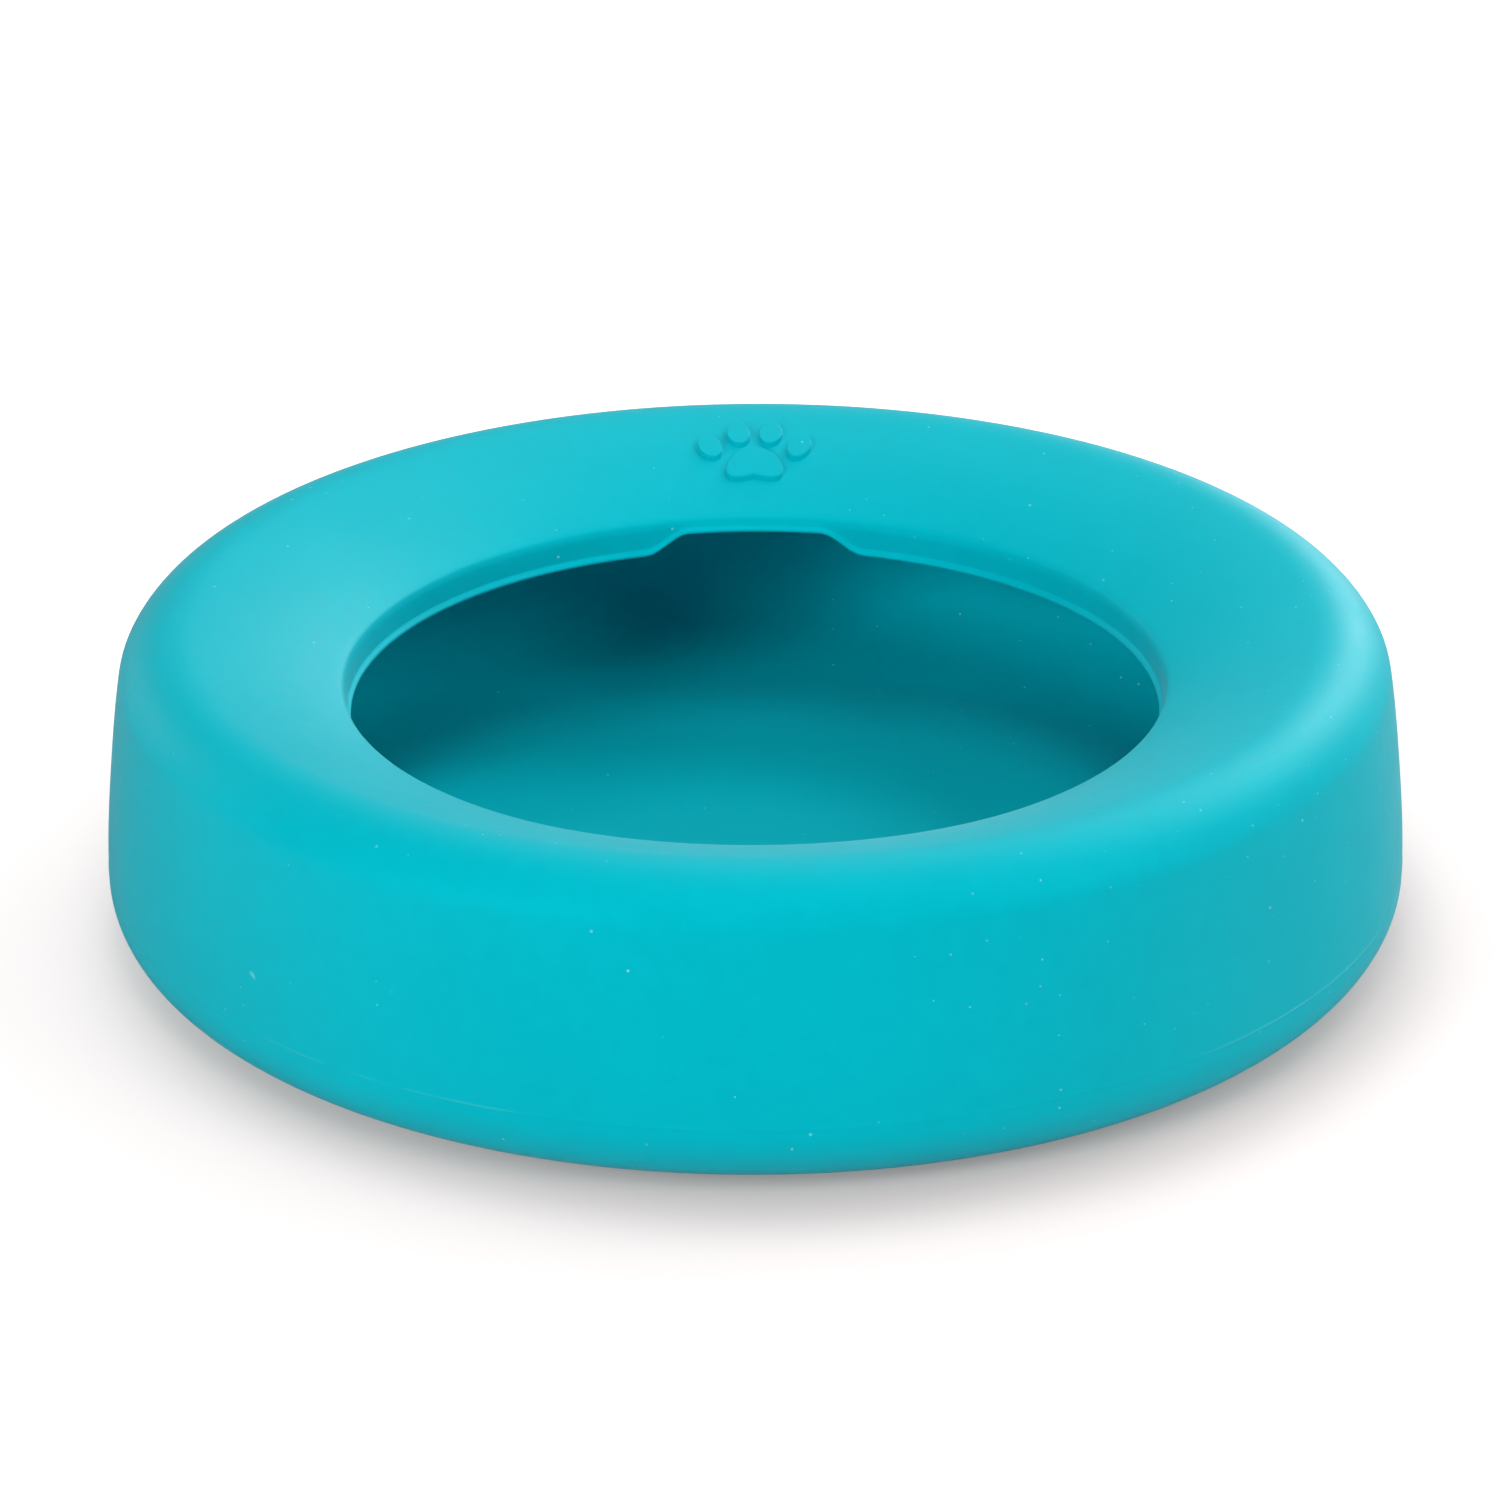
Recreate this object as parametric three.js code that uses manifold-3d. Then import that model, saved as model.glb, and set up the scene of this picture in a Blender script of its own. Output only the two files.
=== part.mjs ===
// A soft no-spill travel bowl for pets: one silicone moulding, split where its regions meet.
// Millimetres, +Z up. The origin is the centre of the underside, and +Y points at the pour notch.
// Outlines are drawn in the half plane (r, z) with the solid on their left, and are turned round Z.
import * as THREE from 'three';
import { mergeVertices } from 'three/addons/utils/BufferGeometryUtils.js';
import Module from 'manifold-3d';

const radians = THREE.MathUtils.degToRad;

// Overall sizes
const overallDiameter = 200; // at the parting line, the widest place
const overallHeight = 48.5; // table to the crest of the shoulder
const openingDiameter = 126.6; // where the flange turns down into the collar

// Base
const partingHeight = 11.4;
const baseCurveWidth = 12.2; // from the widest place in to the foot
const footWidth = 9; // flat ring that stands on the table
const recessDepth = 0.8; // underside inside the foot ring
const floorThickness = 3;
const floorFilletRadius = 17; // inside, between floor and wall

// Wall, shoulder and flange
const wallThickness = 2.6;
const wallLean = radians(5.1); // inwards from the vertical
const shoulderRadius = 10;
const flangeOuterSlope = radians(13.5); // falls inwards from the shoulder
const flangeInnerSlope = radians(30); // and steeper at the opening

// Collar and its bead
const collarDepth = 5.3; // flange edge down to the bottom of the bead
const collarInset = 1.5; // flange edge in to the inside of the bead
const beadRadius = 0.95;
const beadNeckAngle = radians(115); // where the collar's face runs into the bead
const beadEndAngle = radians(315); // where the bead runs into the collar's hidden side

// Pour notch: the bead rises by a smooth step on each side of +Y
const notchCollarDepth = 2.3; // flange edge down to the bottom of the bead, in the notch
const notchTopWidth = 21; // along the bead
const notchStepWidth = 7;

// Raised motif on the flange: a plain paw print
const motifHeight = 0.5;
const motifSetIn = 1.2; // middle of its main pad, in from the middle of the flange
const motifPadWidth = 9;
const motifPadDepth = 6.4;
const toeWidth = 3.6;
const toeLength = 5;
const toeSpread = 7.2; // outer toes from the middle, across
const innerToeSpread = 2.6;
const toeReach = 3.4; // outer toes, out from the pad's middle
const innerToeReach = 6.6;
const toeTilt = radians(24); // of the outer toes
const innerToeTilt = radians(8);

// Shape of the main pad, as shares of half its width and half its depth
const padTopHandle = 0.6;
const padLobeHeight = 0.45;
const padLobeDrop = 1.2;
const padFootHandle = 0.45;
const padFootDepth = 0.8;

// Construction
const seamGap = 0.3; // between neighbouring regions
const roundSegments = 72;
const collarSegments = 120; // finer, for the notch
const baseCurveSteps = 7;
const lowerFilletSteps = 6;
const upperFilletSteps = 4;
const shoulderSteps = 9;
const flangeSteps = 5;
const faceSteps = 4;
const beadSteps = 6;
const motifSteps = 6;
const siliconeColour = 0x22aebd;
const siliconeRoughness = 0.6;

const halfGap = seamGap / 2;
const quarterTurn = Math.PI / 2;
const outerRadius = overallDiameter / 2;
const openingRadius = openingDiameter / 2;
const footRadius = outerRadius - baseCurveWidth;
const recessRadius = footRadius - footWidth;

const point = (r, z) => new THREE.Vector2(r, z);

const direction = (angle) => point(Math.cos(angle), Math.sin(angle));

function away(start, angle, distance) {
  return direction(angle).multiplyScalar(distance).add(start);
}

// Points on an arc of an ellipse with its axes along r and z; a circle where both radii are the same.
function arc(centre, radiusR, radiusZ, from, to, steps) {
  const points = [];
  for (let step = 0; step <= steps; step += 1) {
    const angle = from + ((to - from) * step) / steps;
    points.push(point(centre.x + radiusR * Math.cos(angle), centre.y + radiusZ * Math.sin(angle)));
  }
  return points;
}

const roundArc = (centre, radius, from, to, steps) => arc(centre, radius, radius, from, to, steps);

// Outline of a curved strip, cut square to its skin at both ends.
function stripOutline(centre, radius, thickness, from, to, steps) {
  const trim = halfGap / radius;
  const skin = roundArc(centre, radius, from + trim, to - trim, steps);
  const back = roundArc(centre, radius - thickness, to - trim, from + trim, steps);
  return [...skin, ...back];
}

// Where the wall meets the shoulder, both tangent to each other.
const shoulderHeight = overallHeight - shoulderRadius;
const wallTopHeight = shoulderHeight + shoulderRadius * Math.sin(wallLean);
const wallRadiusAt = (z) => outerRadius - (z - partingHeight) * Math.tan(wallLean);
const wallTop = point(wallRadiusAt(wallTopHeight), wallTopHeight);
const shoulderCentre = away(wallTop, wallLean, -shoulderRadius);

// The flange is an arc that leaves the shoulder at its outer slope and ends at its inner slope.
const flangeStartAngle = quarterTurn + flangeOuterSlope;
const flangeEndAngle = quarterTurn + flangeInnerSlope;
const flangeStart = away(shoulderCentre, flangeStartAngle, shoulderRadius);
const slopeChange = Math.sin(flangeInnerSlope) - Math.sin(flangeOuterSlope);
const flangeRadius = (flangeStart.x - openingRadius) / slopeChange;
const flangeCentre = away(flangeStart, flangeStartAngle, -flangeRadius);
const flangeEdge = away(flangeCentre, flangeEndAngle, flangeRadius);
const motifRadius = (flangeStart.x + flangeEdge.x) / 2 - motifSetIn;

// The fillet inside touches the floor and the leaning inner wall.
const filletHeight = floorThickness + floorFilletRadius;
const filletReach = (wallThickness + floorFilletRadius) / Math.cos(wallLean);
const filletCentre = point(wallRadiusAt(filletHeight) - filletReach, filletHeight);
const filletAngleAt = (z) => Math.asin((z - filletHeight) / floorFilletRadius);
const filletArc = (from, to, steps) => roundArc(filletCentre, floorFilletRadius, from, to, steps);

function turnedSolid(outline) {
  const geometry = new THREE.LatheGeometry([...outline, outline[0]], roundSegments);
  return geometry.rotateX(quarterTurn);
}

function basePan() {
  const rimHeight = partingHeight - halfGap;
  const curveCentre = point(footRadius, partingHeight);
  const curveEnd = -Math.asin(halfGap / partingHeight);
  const outline = [
    point(0, recessDepth),
    point(recessRadius, recessDepth),
    point(recessRadius + recessDepth, 0),
    ...arc(curveCentre, baseCurveWidth, partingHeight, -quarterTurn, curveEnd, baseCurveSteps),
    ...filletArc(filletAngleAt(rimHeight), -quarterTurn, lowerFilletSteps),
    point(0, floorThickness),
  ];
  return turnedSolid(outline);
}

function sideWall() {
  const footHeight = partingHeight + halfGap;
  const top = away(wallTop, wallLean + quarterTurn, -halfGap);
  const outline = [
    point(wallRadiusAt(footHeight), footHeight),
    top,
    away(top, wallLean, -wallThickness),
    ...filletArc(wallLean, filletAngleAt(footHeight), upperFilletSteps),
  ];
  return turnedSolid(outline);
}

function shoulderRing() {
  const ends = [wallLean, flangeStartAngle];
  return turnedSolid(stripOutline(shoulderCentre, shoulderRadius, wallThickness, ...ends, shoulderSteps));
}

// How far the bead rises at this distance round the collar from the middle of the notch.
function notchLift(distance) {
  const start = notchTopWidth / 2;
  const rise = collarDepth - notchCollarDepth;
  return rise * (1 - THREE.MathUtils.smoothstep(distance, start, start + notchStepWidth));
}

// Section of the collar: face, bead, hidden side, and the root cut square to the flange.
function collarOutline(lift) {
  const rootTop = away(flangeEdge, flangeEndAngle + quarterTurn, halfGap);
  const rootUnder = away(rootTop, flangeEndAngle, -wallThickness);
  const beadRadiusFromAxis = openingRadius - collarInset + beadRadius;
  const beadCentre = point(beadRadiusFromAxis, flangeEdge.y - collarDepth + beadRadius + lift);
  const neck = away(beadCentre, beadNeckAngle, beadRadius);
  const turnDrop = (rootTop.x - neck.x) * Math.tan(flangeInnerSlope);
  const turn = point(neck.x, Math.max(rootTop.y - turnDrop, neck.y));
  const face = new THREE.QuadraticBezierCurve(rootTop, turn, neck).getPoints(faceSteps);
  const bead = roundArc(beadCentre, beadRadius, beadNeckAngle, beadEndAngle, beadSteps);
  return [...face, ...bead.slice(1), rootUnder];
}

// Joins one section for each angle round the axis into a closed ring.
function drinkingCollar() {
  const lipRadius = openingRadius - collarInset;
  const positions = [];
  const index = [];
  const sectionSize = collarOutline(0).length;
  for (let turn = 0; turn < collarSegments; turn += 1) {
    const angle = -Math.PI + (2 * Math.PI * turn) / collarSegments; // from +Y
    const outline = collarOutline(notchLift(Math.abs(angle) * lipRadius));
    for (const { x, y } of outline) {
      positions.push(x * Math.sin(angle), x * Math.cos(angle), y);
    }
    for (let side = 0; side < sectionSize; side += 1) {
      const here = turn * sectionSize;
      const next = ((turn + 1) % collarSegments) * sectionSize;
      const after = (side + 1) % sectionSize;
      index.push(here + side, here + after, next + side);
      index.push(next + side, here + after, next + after);
    }
  }
  const geometry = new THREE.BufferGeometry();
  geometry.setAttribute('position', new THREE.Float32BufferAttribute(positions, 3));
  return geometry.setIndex(index);
}

function ellipseShape(x, y, width, length, tilt) {
  return new THREE.Shape().absellipse(x, y, width / 2, length / 2, 0, 2 * Math.PI, false, tilt);
}

// The main pad: broad and flat towards the axis, narrower towards the toes.
function padShape(y) {
  const half = motifPadWidth / 2;
  const deep = motifPadDepth / 2;
  const top = y + deep;
  const lobe = y - deep * padLobeHeight;
  const low = y - deep * padLobeDrop;
  const foot = y - deep * padFootDepth;
  const topHandle = half * padTopHandle;
  const footHandle = half * padFootHandle;
  const shape = new THREE.Shape().moveTo(0, top);
  shape.bezierCurveTo(topHandle, top, half, y, half, lobe);
  shape.bezierCurveTo(half, low, footHandle, y - deep, 0, foot);
  shape.bezierCurveTo(-footHandle, y - deep, -half, low, -half, lobe);
  return shape.bezierCurveTo(-half, y, -topHandle, top, 0, top);
}

function motifShapes() {
  const shapes = [padShape(motifRadius)];
  for (const side of [-1, 1]) {
    const outerX = side * toeSpread;
    const innerX = side * innerToeSpread;
    shapes.push(ellipseShape(outerX, motifRadius + toeReach, toeWidth, toeLength, -side * toeTilt));
    shapes.push(ellipseShape(innerX, motifRadius + innerToeReach, toeWidth, toeLength, -side * innerToeTilt));
  }
  return shapes;
}

const wasm = await Module();
wasm.setup();

function toManifold(geometry) {
  const bare = geometry.clone();
  bare.deleteAttribute('normal');
  bare.deleteAttribute('uv');
  const merged = mergeVertices(bare, 1e-4);
  const vertProperties = new Float32Array(merged.attributes.position.array);
  const triVerts = new Uint32Array(merged.index.array);
  return new wasm.Manifold(new wasm.Mesh({ numProp: 3, vertProperties, triVerts }));
}

function toGeometry(manifold) {
  const mesh = manifold.getMesh();
  const geometry = new THREE.BufferGeometry();
  geometry.setAttribute('position', new THREE.BufferAttribute(mesh.vertProperties, 3));
  return geometry.setIndex(new THREE.BufferAttribute(mesh.triVerts, 1));
}

// The motif is cut out of a second strip that stands proud of the flange and reaches half way into it.
function splashFlange() {
  const strip = (radius, thickness) => {
    const ends = [flangeStartAngle, flangeEndAngle];
    return toManifold(turnedSolid(stripOutline(flangeCentre, radius, thickness, ...ends, flangeSteps)));
  };
  const proudStrip = strip(flangeRadius + motifHeight, wallThickness / 2 + motifHeight);
  let solid = strip(flangeRadius, wallThickness);
  const tall = { depth: overallHeight + motifHeight, bevelEnabled: false, curveSegments: motifSteps };
  for (const shape of motifShapes()) {
    const prism = new THREE.ExtrudeGeometry(shape, tall);
    solid = solid.add(toManifold(prism).intersect(proudStrip));
  }
  return toGeometry(solid);
}

function silicone() {
  const finish = { color: siliconeColour, roughness: siliconeRoughness, metalness: 0 };
  return new THREE.MeshStandardMaterial(finish);
}

const group = new THREE.Group();
const pieces = {
  base_pan: basePan(),
  side_wall: sideWall(),
  shoulder_ring: shoulderRing(),
  splash_flange: splashFlange(),
  drinking_collar: drinkingCollar(),
};
for (const [name, geometry] of Object.entries(pieces)) {
  const mesh = new THREE.Mesh(geometry, silicone());
  mesh.name = name;
  group.add(mesh);
}

export default group;
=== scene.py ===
"""Looks of a soft no-spill travel bowl: one teal silicone moulding on a white studio table."""

import math

import bpy
from mathutils import Matrix, Vector, kdtree


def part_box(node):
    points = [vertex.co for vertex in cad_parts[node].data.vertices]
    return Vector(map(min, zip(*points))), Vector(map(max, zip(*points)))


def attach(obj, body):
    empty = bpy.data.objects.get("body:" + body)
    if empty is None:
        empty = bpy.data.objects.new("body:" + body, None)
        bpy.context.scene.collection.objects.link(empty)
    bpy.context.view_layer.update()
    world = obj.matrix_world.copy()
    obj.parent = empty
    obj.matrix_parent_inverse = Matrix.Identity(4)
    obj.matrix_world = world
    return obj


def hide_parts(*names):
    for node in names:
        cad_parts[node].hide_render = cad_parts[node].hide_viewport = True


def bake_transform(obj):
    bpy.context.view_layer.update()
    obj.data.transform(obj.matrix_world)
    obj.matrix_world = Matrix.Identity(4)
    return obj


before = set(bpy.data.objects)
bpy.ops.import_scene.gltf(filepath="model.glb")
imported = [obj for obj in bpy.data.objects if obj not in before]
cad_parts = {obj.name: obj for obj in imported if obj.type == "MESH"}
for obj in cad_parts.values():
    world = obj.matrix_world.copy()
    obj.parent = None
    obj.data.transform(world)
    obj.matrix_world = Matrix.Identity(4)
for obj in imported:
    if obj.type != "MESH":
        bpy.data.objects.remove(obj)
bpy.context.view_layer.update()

MM = 0.001
QUARTER = math.pi / 2
MERGE_DISTANCE = 0.01 * MM

# ---------------------------------------------------------------- sizes from the frame, in metres
pan_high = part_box("base_pan")[1]
wall_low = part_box("side_wall")[0]
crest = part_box("shoulder_ring")[1]

OUTER_RADIUS = pan_high.x
HEIGHT = crest.z
PARTING_HEIGHT = (pan_high.z + wall_low.z) / 2

# ---------------------------------------------------------------- sizes of the moulding's section
FOOT_EDGE_RADIUS = 87.8 * MM
BASE_CURVE = (11.75 * MM, 10.2 * MM)
FOOT_WIDTH = 9 * MM
RECESS_DEPTH = 0.8 * MM
RECESS_FILLET = 0.8 * MM
# The S of the recess's edge: across in shares of its fillet, and up in shares of its depth
RECESS_EDGE = ((-0.5, 0.85), (0, 0.5), (0.5, 0.15), (1, 0))
FLOOR_THICKNESS = 3 * MM
FLOOR_FILLET = 17 * MM
WALL_THICKNESS = 2.6 * MM
WALL_LEAN = math.radians(5.1)
SHOULDER_RADIUS = 10 * MM
OPENING_RADIUS = 63.3 * MM
FLANGE_OUTER_SLOPE = math.radians(13.5)
FLANGE_INNER_SLOPE = math.radians(30)
PARTING_RIDGE = 0.05 * MM
PARTING_HALF_WIDTH = 0.2 * MM

# The collar from the flange down its face and round its lip: the length of each stretch and the slope
# at its end in degrees, where 90 is straight down, and 180 is level and back out under the lip.
COLLAR_START_RADIUS = 64.1 * MM
COLLAR_STRETCHES = (
    (0.6 * MM, 35), (0.5 * MM, 43), (0.4 * MM, 64), (1.2 * MM, 84), (2.46 * MM, 88),
    (0.3 * MM, 50), (0.6 * MM, 46), (0.92 * MM, 200), (0.7 * MM, 205), (0.68 * MM, 270),
)
# The same stretches in the middle of the pour notch, where the face is low and far less steep.
NOTCH_STRETCHES = (
    (0.6 * MM, 34), (0.4 * MM, 42), (0.32 * MM, 58), (0.42 * MM, 62), (0.48 * MM, 64),
    (0.18 * MM, 42), (0.5 * MM, 36), (0.92 * MM, 190), (0.7 * MM, 192), (0.68 * MM, 195),
)
COLLAR_STEPS = 6
LIP_RADIUS = 61.9 * MM
NOTCH_TOP_WIDTH = 21 * MM
NOTCH_STEP_WIDTH = 7 * MM

# The outside of the wall on from the parting line in the same way, where -90 is straight up: it leans in
# a little more all the way up, until it runs into the round shoulder.
WALL_STRETCHES = (
    (2.4 * MM, -88.7), (5 * MM, -86.4), (6 * MM, -85.2), (6 * MM, -84.7), (5 * MM, -83.3),
    (4 * MM, -81.9), (1.45 * MM, -79), (1.47 * MM, -65),
)
WALL_STEPS = 3
SHOULDER_START = math.radians(25)

# How far apart the section's points are on tight and on broad curves, and how many pieces its flats have
TIGHT_SPACING = 0.8 * MM
FLOOR_FILLET_SPACING = 1 * MM
FLANGE_SPACING = 1.2 * MM
UNDER_FLANGE_SPACING = 2 * MM
RECESS_PIECES = 6
FOOT_PIECES = 4
BELOW_PARTING_PIECES = 2
BEHIND_COLLAR_PIECES = 4
INNER_WALL_PIECES = 10
FLOOR_PIECES = 8
SPIN_STEPS = 400

# ---------------------------------------------------------------- sizes of the raised paw print
PAW_RADIUS = 73.05 * MM
PAW_SUNK = 0.2 * MM
PAW_LIFT = 1 * MM
PAW_FLARE = 0.2 * MM
PAW_CLEARANCE = 5 * MM
PAD_HALF_WIDTH = 4.5 * MM
PAD_HALF_DEPTH = 3.2 * MM
TOE_HALF_SIZE = (1.8 * MM, 2.5 * MM)
# Across from the middle, out from the main pad's middle, and turned outwards in degrees
TOES = ((7.2 * MM, 3.4 * MM, 24), (2.6 * MM, 6.6 * MM, 8))
TOE_POINTS = 40
CURVE_POINTS = 12
# Rows of each pad from the edge of its foot inwards: the step in, and the share of its lift
PAW_ROWS = (
    (0, 0.1), (0.05 * MM, 0.3), (0.04 * MM, 0.6), (0.04 * MM, 0.82), (0.05 * MM, 0.95),
    (0.07 * MM, 1.03), (0.09 * MM, 1.04), (0.12 * MM, 1.0), (0.4 * MM, 1.0),
)

# ---------------------------------------------------------------- sizes of the silicone's patterns
CLOUD_WIDTH = 25 * MM
MOTTLE_WIDTH = 3 * MM
# Specks of dust, one to a cell, the largest 0.1 of a cell in radius
DUST_CELL = 2.6 * MM
DUST_LARGEST = 0.1
# Where along X the bowl turns from nearly clean to dusty
DUSTY_FROM, DUSTY_TO = 10 * MM, 60 * MM
# Hairs of lint, one to a long cell, which is turned and bent
LINT_CELL = (48 * MM, 16 * MM, 16 * MM)
LINT_TURN = (0.3, 0.2, 0.7)
LINT_BEND = (6 * MM, 6 * MM, 6 * MM)
LINT_BEND_WIDTH = 9 * MM
# How much of their pale colour dust and lint show
DUST_STRENGTH = 0.42
# The parting line shows as a pale hairline, partly the flash's own paler colour and partly a painted glint,
# in broken stretches, and not at all round X = 22 mm
HAIRLINE_CORE, HAIRLINE_EDGE = 0.06 * MM, 0.16 * MM
HAIRLINE_BREAK_WIDTH = 30 * MM
HAIRLINE_GAP_MIDDLE = 22 * MM
HAIRLINE_GAP_TO, HAIRLINE_GLINT_FROM = 42 * MM, 54 * MM
GRAIN_WIDTH, GRAIN_DEPTH = 0.35 * MM, 0.012 * MM
WAVE_WIDTH, WAVE_DEPTH = 30 * MM, 0.25 * MM

# ---------------------------------------------------------------- the studio's lamps
# Round softboxes that face the bowl: degrees round from the front towards the right, degrees up, and watts
LAMP_SIZE = 0.62
LAMP_DISTANCE = 1.5
LAMP_AIM_HEIGHT = 30 * MM
LAMPS = {
    "right_back_low": (156, 8, 2.8),
    "left_back_low": (225, 10, 1.8),
    "left_front_low": (315, 20, 10.5),
    "right_front_low": (80, 16, 1.7),
    "right_front": (60, 32, 4.9),
    "right": (120, 32, 2.6),
    "right_back": (150, 26, 6),
    "back": (180, 32, 0.5),
    "right_high": (122, 48, 4.2),
    "front_high": (0, 56, 5.2),
    "back_high": (180, 56, 1.7),
    "front_top": (0, 78, 3.1),
    "back_top": (180, 78, 1),
}
SKY_LEVEL = 0.056
TABLE_WIDTH = 6
# How white the table glows to the camera on top of its lit paint, by the distance from a point a little in
# front of the bowl's middle: a painted shadow, darkest near the bowl and white farther out
PAINTED_SHADOW_GLOW = (
    (84 * MM, 0.26), (88 * MM, 0.33), (92 * MM, 0.38), (96 * MM, 0.46), (100 * MM, 0.565), (104 * MM, 0.66),
    (108 * MM, 0.72), (112 * MM, 0.75), (118 * MM, 0.78), (126 * MM, 0.81), (150 * MM, 1),
)
PAINTED_SHADOW_SHIFT = (-3 * MM, 8 * MM, 0)


# ---------------------------------------------------------------- camera
def make_camera():
    """A long lens in front of the bowl, looking down at it as the photograph does."""
    focal_px = 8360.6
    image_px = 1512
    distance = 1.2846
    elevation = math.radians(24.11)
    roll = math.radians(-0.167)
    aim = Vector((0, 0, 25 * MM))
    shift_px = Vector((0.78, 5.02))
    full_frame_mm = 36

    data = bpy.data.cameras.new("camera")
    data.sensor_width = full_frame_mm
    data.lens = focal_px / image_px * data.sensor_width
    data.clip_start = 0.05
    data.clip_end = 20
    data.shift_x = shift_px.x / image_px
    data.shift_y = shift_px.y / image_px
    camera = bpy.data.objects.new("camera", data)
    bpy.context.scene.collection.objects.link(camera)
    back = Vector((0, -math.cos(elevation), math.sin(elevation)))
    camera.location = aim + back * distance
    turn = back.to_track_quat("Z", "Y").to_matrix().to_4x4() @ Matrix.Rotation(roll, 4, "Z")
    camera.rotation_euler = turn.to_euler()
    bpy.context.scene.camera = camera


# ---------------------------------------------------------------- colour and node helpers
def linear(hex_colour):
    """An sRGB hex colour as linear RGBA."""
    parts = [int(hex_colour[i:i + 2], 16) / 255 for i in (1, 3, 5)]
    return tuple(p / 12.92 if p <= 0.04045 else ((p + 0.055) / 1.055) ** 2.4 for p in parts) + (1,)


# A Mix node's colour sockets, by their places
COLOUR_A = 6
COLOUR_B = 7
COLOUR_OUT = 2


def add_node(tree, kind, inputs=None, **settings):
    """A node with its settings. Its inputs, by name or place, are set to values, or linked to sockets or to
    other nodes' first outputs."""
    made = tree.nodes.new(kind)
    for name, value in settings.items():
        setattr(made, name, value)
    for name, value in (inputs or {}).items():
        source = value.outputs[0] if isinstance(value, bpy.types.Node) else value
        if isinstance(source, bpy.types.NodeSocket):
            tree.links.new(source, made.inputs[name])
        else:
            made.inputs[name].default_value = source
    return made


def new_material(name):
    """An empty node material and its tree."""
    material = bpy.data.materials.new(name)
    material.use_nodes = True
    material.node_tree.nodes.clear()
    return material, material.node_tree


# ---------------------------------------------------------------- modelling helpers
def deselect_all():
    for thing in bpy.context.selected_objects:
        thing.select_set(False)
    bpy.context.view_layer.objects.active = None


def draw_line(name, points):
    """A new piece drawn point by point from one corner, left in edit mode with all of it selected."""
    deselect_all()
    bpy.ops.mesh.primitive_plane_add(size=MM)
    piece = bpy.context.view_layer.objects.active
    piece.name = name
    piece.data.name = name
    bpy.ops.object.mode_set(mode="EDIT")
    bpy.ops.mesh.select_all(action="SELECT")
    bpy.ops.mesh.merge(type="CENTER")
    bpy.ops.transform.translate(value=points[0])
    for here, after in zip(points, points[1:]):
        bpy.ops.mesh.extrude_region_move(TRANSFORM_OT_translate={"value": after - here})
    bpy.ops.mesh.select_all(action="SELECT")
    return piece


def apply_modifier(piece, modifier):
    bpy.context.view_layer.objects.active = piece
    bpy.ops.object.modifier_apply(modifier=modifier.name)


def smooth_step(value, start, end):
    t = min(1, max(0, (value - start) / (end - start)))
    return t * t * (3 - 2 * t)


# ---------------------------------------------------------------- paths in the (r, z) half plane
def polar(centre, radius, angle):
    """The point at that distance and angle from the centre."""
    return Vector((centre.x + radius * math.cos(angle), centre.y + radius * math.sin(angle)))


def arc(centre, radii, start, end, spacing):
    """Points on an arc of an ellipse, about that far apart, without the first."""
    count = max(2, math.ceil(abs(end - start) * max(radii) / spacing))
    angles = [start + (end - start) * i / count for i in range(1, count + 1)]
    return [Vector((centre.x + radii[0] * math.cos(a), centre.y + radii[1] * math.sin(a))) for a in angles]


def line(start, end, count):
    """Points from start to end, without start itself."""
    return [start.lerp(end, i / count) for i in range(1, count + 1)]


def walk(start, slope, stretches, steps):
    """Points along a path that heads inwards and down, its slope changing evenly in each stretch."""
    points = []
    here = start
    for length, end in stretches:
        for i in range(steps):
            angle = math.radians(slope + (end - slope) * (i + 0.5) / steps)
            here = here - Vector((math.cos(angle), math.sin(angle))) * (length / steps)
            points.append(here)
        slope = end
    return points


# ---------------------------------------------------------------- the section of the moulding
def wall_radius(z):
    """The outside of the wall as the frame has it: straight, and leaning in."""
    return OUTER_RADIUS - (z - PARTING_HEIGHT) * math.tan(WALL_LEAN)


shoulder_height = HEIGHT - SHOULDER_RADIUS
wall_top_height = shoulder_height + SHOULDER_RADIUS * math.sin(WALL_LEAN)
wall_top = Vector((wall_radius(wall_top_height), wall_top_height))
shoulder = polar(wall_top, -SHOULDER_RADIUS, WALL_LEAN)
flange_start_angle = QUARTER + FLANGE_OUTER_SLOPE
flange_start = polar(shoulder, SHOULDER_RADIUS, flange_start_angle)
slope_change = math.sin(FLANGE_INNER_SLOPE) - math.sin(FLANGE_OUTER_SLOPE)
flange_radius = (flange_start.x - OPENING_RADIUS) / slope_change
flange = polar(flange_start, -flange_radius, flange_start_angle)
collar_angle = math.acos((COLLAR_START_RADIUS - flange.x) / flange_radius)


def underside_and_wall():
    """The outside, from the middle of the underside up to the round shoulder."""
    recess_radius = FOOT_EDGE_RADIUS - FOOT_WIDTH
    points = [Vector((0, RECESS_DEPTH))]
    points += line(points[-1], Vector((recess_radius - RECESS_FILLET, RECESS_DEPTH)), RECESS_PIECES)
    for across, up in RECESS_EDGE:
        points.append(Vector((recess_radius + across * RECESS_FILLET, up * RECESS_DEPTH)))
    points += line(points[-1], Vector((FOOT_EDGE_RADIUS, 0)), FOOT_PIECES)
    curve = Vector((FOOT_EDGE_RADIUS, BASE_CURVE[1]))
    points += arc(curve, BASE_CURVE, -QUARTER, 0, TIGHT_SPACING)
    rise = PARTING_HEIGHT - PARTING_HALF_WIDTH - points[-1].y
    points += line(points[-1], points[-1] + Vector((0, rise)), BELOW_PARTING_PIECES)
    ridge = points[-1] + Vector((PARTING_RIDGE, PARTING_HALF_WIDTH))
    above = points[-1] + Vector((0, 2 * PARTING_HALF_WIDTH))
    points += [ridge, above]
    return points + walk(above, -90, WALL_STRETCHES, WALL_STEPS)


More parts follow.
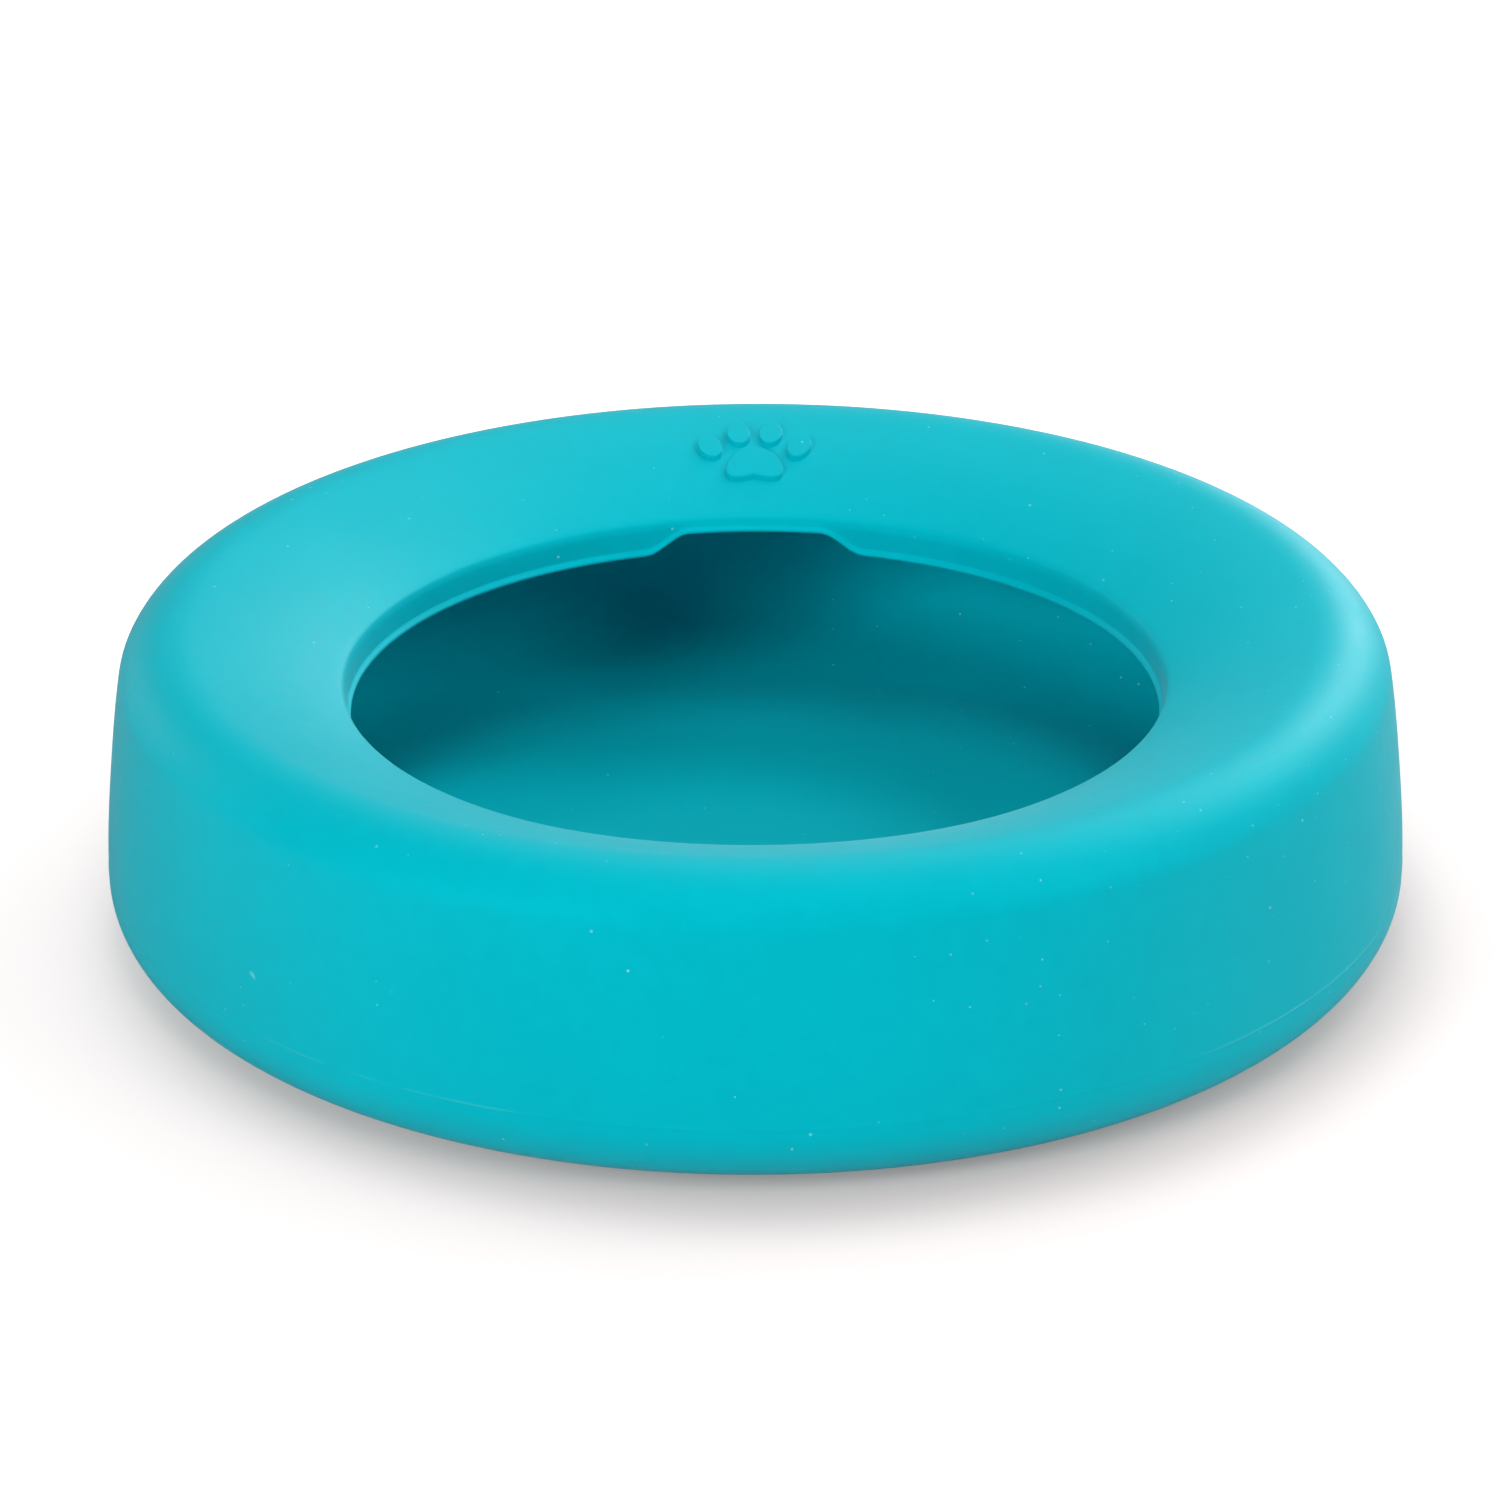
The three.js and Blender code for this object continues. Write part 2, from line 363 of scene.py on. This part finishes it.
def shoulder_and_flange():
    """The outside on round the shoulder and down the flange to the collar."""
    round_shoulder = (SHOULDER_RADIUS, SHOULDER_RADIUS)
    points = arc(shoulder, round_shoulder, SHOULDER_START, flange_start_angle, TIGHT_SPACING)
    dish = (flange_radius, flange_radius)
    return points + arc(flange, dish, flange_start_angle, collar_angle, FLANGE_SPACING)


def collar(stretches):
    """The collar's face, lip and hidden side, up to the flange's underside."""
    start = polar(flange, flange_radius, collar_angle)
    slope = math.degrees(collar_angle - QUARTER)
    points = walk(start, slope, stretches, COLLAR_STEPS)
    root = polar(flange, flange_radius - WALL_THICKNESS, collar_angle)
    return points + line(points[-1], root, BEHIND_COLLAR_PIECES)


def inside():
    """The inside, from under the flange down to the middle of the floor."""
    under_radius = flange_radius - WALL_THICKNESS
    inner_shoulder = SHOULDER_RADIUS - WALL_THICKNESS
    fillet_height = FLOOR_THICKNESS + FLOOR_FILLET
    fillet_reach = (WALL_THICKNESS + FLOOR_FILLET) / math.cos(WALL_LEAN)
    fillet = Vector((wall_radius(fillet_height) - fillet_reach, fillet_height))
    dish = (under_radius, under_radius)
    points = arc(flange, dish, collar_angle, flange_start_angle, UNDER_FLANGE_SPACING)
    round_shoulder = (inner_shoulder, inner_shoulder)
    points += arc(shoulder, round_shoulder, flange_start_angle, WALL_LEAN, TIGHT_SPACING)
    points += line(points[-1], polar(fillet, FLOOR_FILLET, WALL_LEAN), INNER_WALL_PIECES)
    points += arc(fillet, (FLOOR_FILLET, FLOOR_FILLET), WALL_LEAN, -QUARTER, FLOOR_FILLET_SPACING)
    return points + line(points[-1], Vector((0, FLOOR_THICKNESS)), FLOOR_PIECES)


# ---------------------------------------------------------------- the skin
def make_skin():
    """The whole moulding in one closed skin: its section drawn point by point and spun round the axis."""
    outline = underside_and_wall() + shoulder_and_flange() + collar(COLLAR_STRETCHES) + inside()
    skin = draw_line("silicone_bowl", [Vector((p.x, 0, p.y)) for p in outline])
    bpy.ops.mesh.spin(steps=SPIN_STEPS, angle=2 * math.pi, center=(0, 0, 0), axis=(0, 0, 1))
    bpy.ops.mesh.select_all(action="SELECT")
    bpy.ops.mesh.remove_doubles(threshold=MERGE_DISTANCE)
    bpy.ops.mesh.normals_make_consistent(inside=False)
    bpy.ops.object.mode_set(mode="OBJECT")
    bpy.ops.object.shade_smooth()
    shape_notch(skin)
    return skin


def notch_share(x, y):
    """How much of the notch's shape the collar has here, from 0 to 1."""
    along = abs(math.atan2(x, y)) * LIP_RADIUS
    return 1 - smooth_step(along, NOTCH_TOP_WIDTH / 2, NOTCH_TOP_WIDTH / 2 + NOTCH_STEP_WIDTH)


def shape_notch(skin):
    """Lifts and lays back the collar at the back, where the bowl is poured."""
    plain = collar(COLLAR_STRETCHES)
    moves = [after - before for before, after in zip(plain, collar(NOTCH_STRETCHES))]
    rise = max(move.y for move in moves)
    draw_back = max(move.x for move in moves)
    tree = kdtree.KDTree(len(plain))
    for i, point in enumerate(plain):
        tree.insert((point.x, point.y, 0), i)
    tree.balance()
    groups = {"notch_rise": rise, "notch_draw": draw_back}
    rise_group, draw_group = [skin.vertex_groups.new(name=name) for name in groups]
    for vertex in skin.data.vertices:
        x, y, z = vertex.co
        share = notch_share(x, y)
        near = tree.find((math.hypot(x, y), z, 0))
        if share > 0 and near[2] < MERGE_DISTANCE:
            move = moves[near[1]] * share
            rise_group.add([vertex.index], max(0, move.y / rise), "REPLACE")
            draw_group.add([vertex.index], max(0, move.x / draw_back), "REPLACE")
    for direction, (name, strength) in zip("ZY", groups.items()):
        shift = skin.modifiers.new(name, "DISPLACE")
        shift.direction = direction
        shift.mid_level = 0
        shift.strength = strength
        shift.vertex_group = name
        apply_modifier(skin, shift)


# ---------------------------------------------------------------- the raised paw print
def bezier(start, handle_1, handle_2, end):
    """Points on a curve from start to end, without start itself."""
    points = []
    for i in range(1, CURVE_POINTS + 1):
        t = i / CURVE_POINTS
        u = 1 - t
        points.append(start * u ** 3 + handle_1 * 3 * u * u * t + handle_2 * 3 * u * t * t + end * t ** 3)
    return points


def main_pad_outline():
    """Broad and slightly hollow towards the axis, narrower towards the toes."""
    half = PAD_HALF_WIDTH + PAW_FLARE
    deep = PAD_HALF_DEPTH + PAW_FLARE
    top, side, foot = Vector((0, deep)), Vector((half, -0.45 * deep)), Vector((0, -0.8 * deep))
    mirror = Vector((-1, 1))
    right = bezier(top, Vector((0.6 * half, deep)), Vector((half, 0)), side)
    right += bezier(side, Vector((half, -1.2 * deep)), Vector((0.45 * half, -deep)), foot)
    left = [point * mirror for point in reversed(right[:-1])]
    return [point + Vector((0, PAW_RADIUS)) for point in right + left + [top]]


def toe_outline(across, out, turned):
    """An oval, turned about its own middle."""
    half_width, half_length = TOE_HALF_SIZE
    turn = Matrix.Rotation(math.radians(turned), 2)
    points = []
    for i in range(TOE_POINTS):
        angle = 2 * math.pi * i / TOE_POINTS
        x = (half_width + PAW_FLARE) * math.cos(angle)
        y = (half_length + PAW_FLARE) * math.sin(angle)
        points.append(turn @ Vector((x, y)) + Vector((across, PAW_RADIUS + out)))
    return points


def make_pad(name, outline):
    """One pad above the flange: its outline filled, given a back, and stepped inwards row by row."""
    clear = HEIGHT + PAW_CLEARANCE
    pad = draw_line(name, [Vector((p.x, p.y, clear)) for p in outline])
    bpy.ops.mesh.edge_face_add()
    bpy.ops.mesh.extrude_region_move(TRANSFORM_OT_translate={"value": (0, 0, PAW_SUNK)})
    pad.vertex_groups.new(name="lift")
    for step, share in PAW_ROWS:
        if step:
            bpy.ops.mesh.inset(thickness=step)
        bpy.context.scene.tool_settings.vertex_group_weight = share
        bpy.ops.object.vertex_group_assign()
    bpy.ops.mesh.select_all(action="SELECT")
    bpy.ops.mesh.normals_make_consistent(inside=False)
    bpy.ops.object.mode_set(mode="OBJECT")
    return pad


def make_paw(skin):
    """A plain paw print that stands up from the flange, its foot sunk into it so that it looks moulded."""
    pads = [make_pad("paw_print", main_pad_outline())]
    for across, out, turned in TOES:
        pads.append(make_pad("toe", toe_outline(across, out, -turned)))
        pads.append(make_pad("toe", toe_outline(-across, out, turned)))
    for pad in pads:
        pad.select_set(True)
    bpy.context.view_layer.objects.active = pads[0]
    bpy.ops.object.join()
    paw = pads[0]
    lay_on(paw, skin)
    bpy.ops.object.shade_smooth()
    return paw


def lay_on(paw, skin):
    """Projects the pads down onto the flange and lifts their rows off it."""
    drop = paw.modifiers.new("drop", "SHRINKWRAP")
    drop.target = skin
    drop.wrap_method = "PROJECT"
    drop.use_project_z = True
    drop.use_positive_direction = False
    drop.use_negative_direction = True
    apply_modifier(paw, drop)
    lift = paw.modifiers.new("lift", "DISPLACE")
    lift.direction = "Z"
    lift.mid_level = 0
    lift.strength = PAW_LIFT
    lift.vertex_group = "lift"
    apply_modifier(paw, lift)
    bpy.ops.object.mode_set(mode="EDIT")
    bpy.ops.mesh.select_all(action="SELECT")
    bpy.ops.transform.translate(value=(0, 0, -PAW_SUNK))
    bpy.ops.object.mode_set(mode="OBJECT")


# ---------------------------------------------------------------- materials
def silicone_material():
    """Silicone rubber moulded in a finely blasted mould and dyed through: an even teal with a soft, broad
    sheen. It is a little mottled, holds pale dust and a few hairs of lint, and shows its parting line,
    partly as a painted glint."""
    material, tree = new_material("moulded_silicone_teal")
    output = add_node(tree, "ShaderNodeOutputMaterial")
    place = add_node(tree, "ShaderNodeTexCoord").outputs["Object"]
    parts = add_node(tree, "ShaderNodeSeparateXYZ", {0: place})

    # Dye: clouds about 25 mm across, and a finer unevenness of 3 mm
    clouds = add_node(tree, "ShaderNodeTexNoise", {"Vector": place, "Scale": 1 / CLOUD_WIDTH, "Detail": 2})
    mottle = add_node(tree, "ShaderNodeTexNoise", {"Vector": place, "Scale": 1 / MOTTLE_WIDTH, "Detail": 3})
    uneven = add_node(tree, "ShaderNodeMath", {0: clouds, 1: mottle}, operation="ADD")
    deeper = add_node(tree, "ShaderNodeMapRange", {"Value": uneven, "From Min": 0.7, "From Max": 1.3})
    colours = {"Factor": deeper, COLOUR_A: linear("#00b5c4"), COLOUR_B: linear("#00b9c8")}
    dye = add_node(tree, "ShaderNodeMix", colours, data_type="RGBA").outputs[COLOUR_OUT]

    # Dust: specks up to 0.5 mm across, one to a cell of 2.6 mm, small and large, faint and pale. More lie
    # on the right half.
    cells = add_node(tree, "ShaderNodeTexVoronoi", {"Vector": place, "Scale": 1 / DUST_CELL})
    lot = add_node(tree, "ShaderNodeSeparateXYZ", {0: cells.outputs["Color"]})
    right_half = {"Value": parts, "From Min": DUSTY_FROM, "From Max": DUSTY_TO}
    bare = add_node(tree, "ShaderNodeMapRange", {**right_half, "To Min": 0.55, "To Max": -0.2})
    size = add_node(tree, "ShaderNodeMapRange",
                    {"Value": lot, "From Min": bare, "From Max": 1, "To Max": DUST_LARGEST})
    within = add_node(tree, "ShaderNodeMath", {0: size, 1: cells}, operation="SUBTRACT")
    pale = add_node(tree, "ShaderNodeMapRange", {"Value": lot.outputs["Y"], "To Min": 0.4, "To Max": 1.6})
    specks = add_node(tree, "ShaderNodeMapRange", {"Value": within, "From Max": 0.02, "To Max": pale})

    # Lint: short hairs, about 0.1 mm thick on the real bowl and drawn 0.6 mm thick, so that they show
    bend = add_node(tree, "ShaderNodeTexNoise", {"Vector": place, "Scale": 1 / LINT_BEND_WIDTH, "Detail": 0})
    bent = add_node(tree, "ShaderNodeVectorMath", {0: bend.outputs["Color"], 1: LINT_BEND},
                    operation="MULTIPLY")
    wavy = add_node(tree, "ShaderNodeVectorMath", {0: place, 1: bent}, operation="ADD")
    long_cells = tuple(1 / width for width in LINT_CELL)
    laid = add_node(tree, "ShaderNodeMapping", {"Vector": wavy, "Rotation": LINT_TURN, "Scale": long_cells})
    hair_cells = add_node(tree, "ShaderNodeTexVoronoi", {"Vector": laid, "Scale": 1})
    hairs = add_node(tree, "ShaderNodeMapRange", {"Value": hair_cells, "From Min": 0.024, "From Max": 0.012})
    lint = add_node(tree, "ShaderNodeMath", {0: specks, 1: hairs}, operation="MAXIMUM")
    faint = add_node(tree, "ShaderNodeMath", {0: lint, 1: DUST_STRENGTH}, operation="MULTIPLY")
    colours = {"Factor": faint, COLOUR_A: dye, COLOUR_B: linear("#8fe0e8")}
    dusty = add_node(tree, "ShaderNodeMix", colours, data_type="RGBA").outputs[COLOUR_OUT]

    # Parting line: a pale hairline round the outside, partly the flash's own paler colour and partly a
    # painted glint. It is broken, paler farther from the middle, and gone from a stretch a little right of
    # the middle
    off = add_node(tree, "ShaderNodeMath", {0: parts.outputs["Z"], 1: PARTING_HEIGHT}, operation="SUBTRACT")
    far = add_node(tree, "ShaderNodeMath", {0: off}, operation="ABSOLUTE")
    hairline = add_node(tree, "ShaderNodeMapRange",
                        {"Value": far, "From Min": HAIRLINE_EDGE, "From Max": HAIRLINE_CORE})
    aside = add_node(tree, "ShaderNodeMath", {0: parts, 1: HAIRLINE_GAP_MIDDLE}, operation="SUBTRACT")
    off_middle = add_node(tree, "ShaderNodeMath", {0: aside}, operation="ABSOLUTE")
    reach = add_node(tree, "ShaderNodeVectorMath", {0: place}, operation="LENGTH").outputs["Value"]
    outside = add_node(tree, "ShaderNodeMath", {0: reach, 1: OUTER_RADIUS - WALL_THICKNESS / 2},
                       operation="GREATER_THAN")
    broken = add_node(tree, "ShaderNodeTexNoise", {"Vector": place, "Scale": 1 / HAIRLINE_BREAK_WIDTH, "Detail": 5})
    glint_strength = add_node(tree, "ShaderNodeMapRange",
                     {"Value": off_middle, "From Min": HAIRLINE_GAP_TO, "From Max": HAIRLINE_GLINT_FROM, "To Max": 0.42})
    glint_breaks = add_node(tree, "ShaderNodeMapRange",
                    {"Value": broken, "From Min": 0.45, "From Max": 0.65, "To Max": glint_strength})
    broken_glint_line = add_node(tree, "ShaderNodeMath", {0: hairline, 1: glint_breaks}, operation="MULTIPLY")
    line_share = add_node(tree, "ShaderNodeMath", {0: broken_glint_line, 1: outside}, operation="MULTIPLY")
    # Painted glint: the hairline's pale colour, mixed in by the mask above
    colours = {"Factor": line_share, COLOUR_A: dusty, COLOUR_B: linear("#7fdbe4")}
    flash_and_glint = add_node(tree, "ShaderNodeMix", colours, data_type="RGBA").outputs[COLOUR_OUT]

    # Skin: the mould's blasted grain, 0.2 mm on the real bowl and drawn at 0.35 mm, on a faint waviness
    grain = add_node(tree, "ShaderNodeTexNoise", {"Vector": place, "Scale": 1 / GRAIN_WIDTH, "Detail": 2})
    waves = add_node(tree, "ShaderNodeTexNoise", {"Vector": place, "Scale": 1 / WAVE_WIDTH, "Detail": 1})
    wavy_skin = add_node(tree, "ShaderNodeBump", {"Height": waves, "Distance": WAVE_DEPTH})
    skin = add_node(tree, "ShaderNodeBump", {"Height": grain, "Distance": GRAIN_DEPTH, "Normal": wavy_skin})
    matt = add_node(tree, "ShaderNodeMapRange",
                    {"Value": mottle, "From Min": 0.3, "From Max": 0.7, "To Min": 0.48, "To Max": 0.56})

    # Gloss: teal seen face on and white edge on, which keeps the deep colour. Bloom: a fine haze that
    # brightens the skin where it is seen edge on.
    shader = add_node(tree, "ShaderNodeBsdfPrincipled", {
        "Base Color": flash_and_glint,
        "Roughness": matt,
        "IOR": 1.41,
        "Specular IOR Level": 0.4,
        "Specular Tint": linear("#00e6f5"),
        "Sheen Weight": 0.12,
        "Sheen Roughness": 0.3,
        "Normal": skin,
    })
    tree.links.new(shader.outputs[0], output.inputs["Surface"])
    return material


def table_material():
    """White laminate table, pressed smooth and matt: plain white to the lights. The camera sees a darker,
    warm paint, which keeps the bowl's real shadow faint and cancels the teal light the bowl throws into it,
    and a painted glow that leaves a painted shadow round the bowl and whitens the table farther out."""
    material, tree = new_material("white_laminate_table")
    output = add_node(tree, "ShaderNodeOutputMaterial")
    place = add_node(tree, "ShaderNodeTexCoord").outputs["Object"]
    # Painted shadow: the glow ramp by distance from the bowl, low near it and white farther out
    shifted = add_node(tree, "ShaderNodeVectorMath", {0: place, 1: PAINTED_SHADOW_SHIFT}, operation="ADD")
    reach = add_node(tree, "ShaderNodeVectorMath", {0: shifted}, operation="LENGTH").outputs["Value"]
    near, far = PAINTED_SHADOW_GLOW[0][0], PAINTED_SHADOW_GLOW[-1][0]
    share = add_node(tree, "ShaderNodeMapRange", {"Value": reach, "From Min": near, "From Max": far})
    painted_shadow_ramp = add_node(tree, "ShaderNodeValToRGB", {"Fac": share})
    ramp = painted_shadow_ramp.color_ramp.elements
    for radius, level in PAINTED_SHADOW_GLOW[1:-1]:
        ramp.new((radius - near) / (far - near)).color = (level, level, level, 1)
    for end, (radius, level) in ((ramp[0], PAINTED_SHADOW_GLOW[0]), (ramp[-1], PAINTED_SHADOW_GLOW[-1])):
        end.color = (level, level, level, 1)
    # To the camera: a darker warm paint against the bowl's teal bounce light, plus the painted shadow's glow
    rays = add_node(tree, "ShaderNodeLightPath").outputs["Is Camera Ray"]
    colours = {"Factor": rays, COLOUR_A: linear("#ededed"), COLOUR_B: linear("#948583")}
    paint_colour = add_node(tree, "ShaderNodeMix", colours, data_type="RGBA").outputs[COLOUR_OUT]
    paint = add_node(tree, "ShaderNodeBsdfDiffuse", {"Color": paint_colour})
    glow = add_node(tree, "ShaderNodeEmission", {"Color": painted_shadow_ramp, "Strength": rays})
    both = add_node(tree, "ShaderNodeAddShader", {0: paint, 1: glow})
    tree.links.new(both.outputs[0], output.inputs["Surface"])
    return material


# ---------------------------------------------------------------- the studio
def make_table():
    """A table top that reaches out of every view."""
    deselect_all()
    bpy.ops.mesh.primitive_plane_add(size=TABLE_WIDTH)
    table = bpy.context.view_layer.objects.active
    table.name = "table"
    table.visible_glossy = False
    table.data.materials.append(table_material())


def make_softbox(name, round_from_front, up, power):
    """A round softbox that faces the bowl and isn't seen itself."""
    data = bpy.data.lights.new(name, "AREA")
    data.shape = "DISK"
    data.size = LAMP_SIZE
    data.energy = power
    lamp = bpy.data.objects.new(name, data)
    bpy.context.scene.collection.objects.link(lamp)
    azimuth = math.radians(round_from_front)
    elevation = math.radians(up)
    level = math.cos(elevation)
    outwards = Vector((math.sin(azimuth) * level, -math.cos(azimuth) * level, math.sin(elevation)))
    lamp.location = Vector((0, 0, LAMP_AIM_HEIGHT)) + outwards * LAMP_DISTANCE
    lamp.rotation_euler = outwards.to_track_quat("Z", "Y").to_euler()
    lamp.visible_camera = False


def make_world():
    """Even light from all round, at the softboxes' level or below, and white where the camera sees it."""
    world = bpy.data.worlds.new("studio")
    bpy.context.scene.world = world
    world.use_nodes = True
    tree = world.node_tree
    tree.nodes.clear()
    output = add_node(tree, "ShaderNodeOutputWorld")
    rays = add_node(tree, "ShaderNodeLightPath")
    level = add_node(tree, "ShaderNodeMapRange",
                     {"Value": rays.outputs["Is Camera Ray"], "To Min": SKY_LEVEL, "To Max": 1})
    sky = add_node(tree, "ShaderNodeBackground", {"Color": linear("#ffffff"), "Strength": level})
    tree.links.new(sky.outputs[0], output.inputs["Surface"])


def make_studio():
    bpy.context.scene.view_settings.view_transform = "Standard"
    make_camera()
    make_table()
    make_world()
    for name, (round_from_front, up, power) in LAMPS.items():
        make_softbox(name, round_from_front, up, power)


# ---------------------------------------------------------------- the bowl
make_studio()
silicone = silicone_material()

bowl = make_skin()
bowl.data.materials.append(silicone)
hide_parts("base_pan", "side_wall", "shoulder_ring", "splash_flange", "drinking_collar")

paw = make_paw(bowl)
paw.data.materials.append(silicone)
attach(paw, "guard")

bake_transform(bowl)
